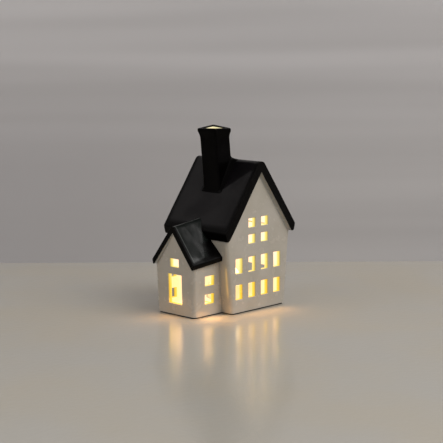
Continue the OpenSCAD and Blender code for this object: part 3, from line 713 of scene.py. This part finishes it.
def glazedChimney(s):
    # grows the skin row by row from a rounded rectangle, up the outside and down the bore
    mesh = bmesh.new()
    bmesh.ops.create_grid(mesh, x_segments=1, y_segments=1, size=0.5)
    bmesh.ops.scale(mesh, vec=(s["width"], s["depth"], 1), verts=mesh.verts)
    bmesh.ops.bevel(mesh, geom=mesh.verts[:], offset=s["corner"], offset_type="OFFSET",
                    segments=s["cornerSegments"], profile=0.5, affect="VERTICES",
                    clamp_overlap=True, material=-1)
    skin = mesh.faces[:][0]
    flat = {v: v.co.copy() for v in skin.verts}
    rings = []
    rows, lipStart, inside = chimneyRows(s)
    for i, (out, lift, level, share) in enumerate(rows):
        if i:
            before = list(skin.verts)
            grown = bmesh.ops.extrude_face_region(mesh, geom=[skin])["geom"]
            skin = [g for g in grown if isinstance(g, bmesh.types.BMFace)][0]
            flat = {new: flat[old] for new, old in pairedVerts(before, skin.verts)}
        for vert, spot in flat.items():
            full = 1
            if not share and out >= 0:
                # the fillet at the foot is slight on the left side
                full = min(1, s["lowShare"] + (spot.x + s["width"] / 2) / s["filletGrow"])
            x = spot.x * (1 + 2 * out * full / s["width"])
            y = spot.y * (1 + 2 * out * full / s["depth"])
            if share == 1 and i >= lipStart:
                # the bore stands a little off the middle
                x, y = x + s["boreShift"], y + s["boreShift"]
            ground = roofTop(s["x"] + x) + lift * full
            z = ground + (level - ground) * share
            rise = z - s["foot"]
            wave = rimWave(x, y, z, s)
            vert.co = place(s["x"] + x + s["leanX"] * rise, s["y"] + y + s["leanY"] * rise,
                            z + wave)
        rings.append(list(skin.edges))
        if i >= inside:
            # the bore is bare clay
            for face in {f for e in skin.edges for f in e.link_faces if f is not skin}:
                face.material_index = 1
    # the end caps go, and the bore's foot joins the fillet's, hidden in the roof
    bmesh.ops.delete(mesh, geom=[f for f in mesh.faces if len(f.verts) > 4], context="FACES_ONLY")
    bmesh.ops.bridge_loops(mesh, edges=rings[0] + rings[-1])
    bmesh.ops.recalc_face_normals(mesh, faces=mesh.faces)
    finished("chimney_glazed", mesh, [shadedChimney, clay], ["chimney"])


def pairedVerts(before, after):
    # an extruded face's new points, each with the point that it came from
    for new in after:
        yield new, min(before, key=lambda old: (old.co - new.co).length_squared)


glazedChimney(chimney)

print("shells made")

# moulded finishes differ in their two colours, how rough they are, and the size and depth of their
# grain; some of them glow with the lamp's light
moulded = dict(patchSize=0.006, patch=(0.3, 0.75), wearSize=0.003, wear=0.1, grainSize=0.0006,
               depth=0.00003, bump=0.6)
foam = dict(cells=1700.0, walls=(0.1, 0.6), dark=colour(16, 15, 15), pale=colour(38, 36, 35),
            roughness=0.92, grain=(0.0002, 0.8))
steel = dict(brushSize=0.0008, brush=(1, 0.08, 1), dark=colour(196, 196, 198),
             pale=colour(222, 221, 218), roughness=0.18, uneven=0.15, grain=(0.00002, 0.5))
board = dict(grid=300.0, track=0.06, weaveSize=0.0006, weave=0.1, roughness=0.35,
             mask=colour(28, 92, 52), copper=colour(46, 122, 70), grain=(0.00003, 0.6))


def makeMoulded(name, main, shade, roughness, grainSize=None, depth=None, **more):
    s = moulded
    paint = Paint(bpy.data.materials.new(name))
    base = paint.blend(paint.clouds(s["patchSize"], detail=3).between(*s["patch"]), main, shade)
    wear = paint.clouds(s["wearSize"]) * s["wear"]
    grain = paint.clouds(grainSize or s["grainSize"])
    return paint.finish(Base_Color=base, Roughness=wear + roughness,
                        Normal=paint.relief(grain, depth or s["depth"], s["bump"]), **more)


def makeFoam(s):
    paint = Paint(bpy.data.materials.new("soft_pad"))
    cells = paint.node("TexVoronoi", {"feature": "SMOOTH_F1"}, Vector=paint.place, Scale=s["cells"])
    base = paint.blend(cells.between(*s["walls"]), s["dark"], s["pale"])
    return paint.finish(Base_Color=base, Roughness=s["roughness"],
                        Normal=paint.relief(cells, *s["grain"]))


def makeSteel(s):
    paint = Paint(bpy.data.materials.new("plated_steel"))
    brush = paint.clouds(s["brushSize"], detail=3, roughness=0.6, stretch=s["brush"])
    base = paint.blend(brush, s["dark"], s["pale"])
    uneven = brush * s["uneven"]
    return paint.finish(Base_Color=base, Metallic=1.0, Roughness=uneven + s["roughness"],
                        Normal=paint.relief(brush, *s["grain"]))


def makeBoard(s):
    paint = Paint(bpy.data.materials.new("green_board"))
    empty, full = (0, 0, 0, 1), (1, 1, 1, 1)
    tracks = paint.node("TexBrick", {}, Vector=paint.place, Color1=empty, Color2=empty,
                        Mortar=full, Scale=s["grid"], **{"Mortar Size": s["track"]})
    weave = paint.clouds(s["weaveSize"], detail=1)
    base = paint.blend(tracks, s["mask"], s["copper"])
    return paint.finish(Base_Color=base, Roughness=weave * s["weave"] + s["roughness"],
                        Normal=paint.relief(tracks, *s["grain"]))


shades = {
    "soft_pad": makeFoam(foam),
    "white_plastic": makeMoulded("white_plastic", colour(226, 224, 217), colour(218, 216, 208),
                                 roughness=0.32),
    "silicone": makeMoulded("silicone", colour(206, 207, 205), colour(196, 197, 195), roughness=0.5,
                            depth=0.00005),
    "lit_plastic": makeMoulded("lit_plastic", colour(226, 222, 206), colour(216, 212, 194),
                               roughness=0.36, Emission_Color=(1.0, 0.86, 0.36, 1),
                               Emission_Strength=0.25),
    "frosted_plastic": makeMoulded("frosted_plastic", colour(246, 240, 224), colour(238, 230, 210),
                                   roughness=0.55, Emission_Color=(1.0, 0.86, 0.5, 1),
                                   Emission_Strength=1.6),
    "epoxy": makeMoulded("epoxy", colour(240, 238, 226), colour(232, 230, 214), roughness=0.12,
                         grainSize=0.002),
    "plated_steel": makeSteel(steel),
    "green_board": makeBoard(board),
    "chip_black": makeMoulded("chip_black", colour(26, 26, 28), colour(34, 34, 36), roughness=0.45),
    "black_plastic": makeMoulded("black_plastic", colour(22, 22, 23), colour(30, 30, 31),
                                 roughness=0.38),
}
print("lamp finishes mixed")

# nodes whose edges are eased: the finish, the radius in millimetres and the body that each rides on
eased = dict(base_pad=("soft_pad", 0.15, "house"), lamp_housing=("lit_plastic", 0.2, "lamp"),
             retaining_ring=("silicone", 0.2, "lamp"), lamp_cover=("lit_plastic", 0.15, "lamp"),
             battery_door=("white_plastic", 0.15, "battery_hatch"),
             battery_door_screw=("plated_steel", 0.08, "battery_hatch"),
             button_cell=("plated_steel", 0.2, "lamp"),
             switch_knob=("black_plastic", 0.12, "switch_slider"))
easing = dict(sharp=50, segments=2)
# nodes that keep their shape and only take a finish
kept = dict(light_diffuser="frosted_plastic", led="epoxy", led_leads="plated_steel",
            circuit_board="green_board", resistor="chip_black", positive_contact="plated_steel",
            negative_contact="plated_steel", switch_body="black_plastic",
            switch_terminals="plated_steel")


def easedPiece(node, finish, ease, body):
    mesh = welded(node)
    rounded(mesh, sharpEdges(mesh, easing["sharp"]), ease, easing["segments"])
    finished(node + "_eased", mesh, [shades[finish]], [node], body, warp=False)


for node, (finish, ease, body) in eased.items():
    easedPiece(node, finish, ease, body)
for node, finish in kept.items():
    slots = nodes[node].data.materials
    slots.clear()
    slots.append(shades[finish])


floor = welded("house_floor")
finished("house_floor_glazed", floor, [white], ["house_floor"], warp=False)
print("lamp and floor dressed")

# the table and the wall behind the house, with their sizes and places in metres
stage = dict(floor=colour(185, 181, 173), floorWarm=colour(188, 180, 165), patchSize=0.12,
             patch=(0.3, 0.7), roughness=0.14, wearSize=0.03, wear=0.06, grainSize=0.004,
             grain=(0.0003, 0.3), wall=colour(204, 201, 202), wallLow=colour(190, 187, 189),
             across=(-0.22, 0.16), wallTop=colour(217, 214, 216), upward=(0.08, 0.2),
             wallDark=colour(187, 184, 185), bandSize=0.045, bandStretch=(0.04, 0.04, 1),
             band=(0.35, 0.65), bandShare=0.6, wallRoughness=0.9, behind=1.153, size=6.0,
             wallHeight=1.2)


def flatPiece(name, material, width, height, turn):
    # a flat sheet of the stage, which stays out of the part
    mesh = bmesh.new()
    bmesh.ops.create_grid(mesh, x_segments=1, y_segments=1, size=0.5)
    bmesh.ops.scale(mesh, vec=(width, height, 1), verts=mesh.verts)
    bmesh.ops.transform(mesh, matrix=turn, verts=mesh.verts)
    data = bpy.data.meshes.new(name)
    mesh.to_mesh(data)
    mesh.free()
    data.materials.append(material)
    piece = bpy.data.objects.new(name, data)
    bpy.context.scene.collection.objects.link(piece)


def makeStage(s):
    paint = Paint(bpy.data.materials.new("stage_floor"))
    patch = paint.clouds(s["patchSize"], detail=4).between(*s["patch"])
    base = paint.blend(patch, s["floor"], s["floorWarm"])
    wear = paint.clouds(s["wearSize"], detail=3) * s["wear"]
    grain = paint.relief(paint.clouds(s["grainSize"], detail=3), *s["grain"])
    table = paint.finish(Base_Color=base, Roughness=wear + s["roughness"], Normal=grain)
    flatPiece("stage_floor", table, s["size"], s["size"], Matrix())
    paint = Paint(bpy.data.materials.new("stage_wall"))
    bands = paint.clouds(s["bandSize"], stretch=s["bandStretch"]).between(*s["band"])
    x, y, z = paint.axes()
    # painted light: the wall turns darker to the left and lighter towards the top; its soft bands
    # are its own pattern
    base = paint.blend((x - y).between(*s["across"]), s["wallLow"], s["wall"])
    base = paint.blend(z.between(*s["upward"]), base, s["wallTop"])
    base = paint.blend(bands * s["bandShare"], base, s["wallDark"])
    cloth = paint.finish(Base_Color=base, Roughness=s["wallRoughness"])
    # the wall is clear from behind, so that it never hides the house
    side = paint.node("NewGeometry", {}, output="Backfacing")
    clear = paint.node("BsdfTransparent", {})
    mixed = paint.node("MixShader", {}, side, Val(paint, paint.shader.outputs[0]), clear)
    tree = cloth.node_tree
    tree.links.new(mixed.socket, tree.nodes["Material Output"].inputs["Surface"])
    back = towards(camera["azimuth"], 0)
    sight = towards(camera["azimuth"], camera["elevation"]) * camera["distance"]
    eye = Vector(camera["aim"]) + sight
    spot = Vector((eye.x, eye.y, s["wallHeight"] / 2)) - back * s["behind"]
    turn = Matrix.Translation(spot) @ back.to_track_quat("Z", "Y").to_matrix().to_4x4()
    flatPiece("stage_wall", cloth, s["size"], s["wallHeight"], turn)


makeStage(stage)

# the room's light is level, and behind is what mirrors and the lens see of it; angles in degrees
light = dict(level=0.345, tint=(1.0, 0.99, 0.975, 1), behind=colour(150, 146, 145), distance=2.5,
             key=dict(azimuth=62, elevation=44, size=4.4, power=17.6),
             front=dict(azimuth=15, elevation=50, size=1.7, power=30.5),
             fill=dict(azimuth=-112, elevation=30, size=1.7, power=7.2),
             lampPower=0.05, lampTint=(1.0, 0.9, 0.5), lampHeight=23, lampSize=6)
# the lamp's light that falls out on the table: the middle, turn, size and strength of each opening
spill = dict(tint=(1.0, 0.52, 0.17), droop=35,
             door=dict(middle=(-60, -1, 18), turn=-84, width=12, height=22, power=0.0055),
             side=dict(middle=(-46, -25.5, 12), turn=-12, width=12, height=12, power=0.0065),
             gable=dict(middle=(-3, -38, 11), turn=-5, width=44, height=12, power=0.0045))
# the same openings as the glossy table mirrors them
shine = dict(tint=(1.0, 0.49, 0.07), droop=0,
             door=dict(middle=(-58.8, -1, 16), turn=-90, width=12, height=22, power=0.00062),
             side=dict(middle=(-46, -20.9, 19), turn=0, width=9, height=24, power=0.0005),
             gable=dict(middle=(-3, -30.9, 20), turn=0, width=44, height=22, power=0.0015))


def addLight(name, kind, power, tint, spot):
    lamp = bpy.data.lights.new(name, kind)
    lamp.energy, lamp.color = power, tint[:3]
    made = bpy.data.objects.new(name, lamp)
    made.location = spot
    bpy.context.scene.collection.objects.link(made)
    return made, lamp


def makeLights(s):
    world = bpy.context.scene.world or bpy.data.worlds.new("world")
    bpy.context.scene.world = world
    paint = Paint(world, "Background")
    rays = paint.node("LightPath", {}).socket.node.outputs
    seen = Val(paint, rays["Is Camera Ray"]).most(Val(paint, rays["Is Glossy Ray"]))
    seen = seen.most(Val(paint, rays["Is Transmission Ray"]))
    lit = tuple(c * s["level"] for c in s["tint"][:3]) + (1,)
    paint.finish(Color=paint.blend(seen, lit, s["behind"]), Strength=1.0)
    for name in ("key", "front", "fill"):
        out = towards(s[name]["azimuth"], s[name]["elevation"])
        spot = Vector(camera["aim"]) + out * s["distance"]
        made, lamp = addLight(name, "AREA", s[name]["power"], s["tint"], spot)
        lamp.shape, lamp.size = "SQUARE", s[name]["size"]
        made.rotation_euler = out.to_track_quat("Z", "Y").to_euler()
    spot = place(0, 0, s["lampHeight"])
    made, lamp = addLight("lamp_glow", "POINT", s["lampPower"], s["lampTint"], spot)
    lamp.shadow_soft_size = s["lampSize"] * mm


def makeSpill(kind, s, mirrored):
    # lights that either fall on the table or are only mirrored in it, and are never seen
    for name in ("door", "side", "gable"):
        one = s[name]
        made, lamp = addLight(kind + name, "AREA", one["power"], s["tint"], place(*one["middle"]))
        lamp.shape, lamp.size, lamp.size_y = "RECTANGLE", one["width"] * mm, one["height"] * mm
        out = towards(one["turn"], -s["droop"])
        made.rotation_euler = (-out).to_track_quat("Z", "Y").to_euler()
        made.visible_camera = False
        made.visible_glossy, made.visible_diffuse = mirrored, not mirrored


makeLights(light)
makeSpill("spill_", spill, False)
makeSpill("shine_", shine, True)
bpy.context.scene.view_settings.view_transform = "Standard"
print("stage lit")
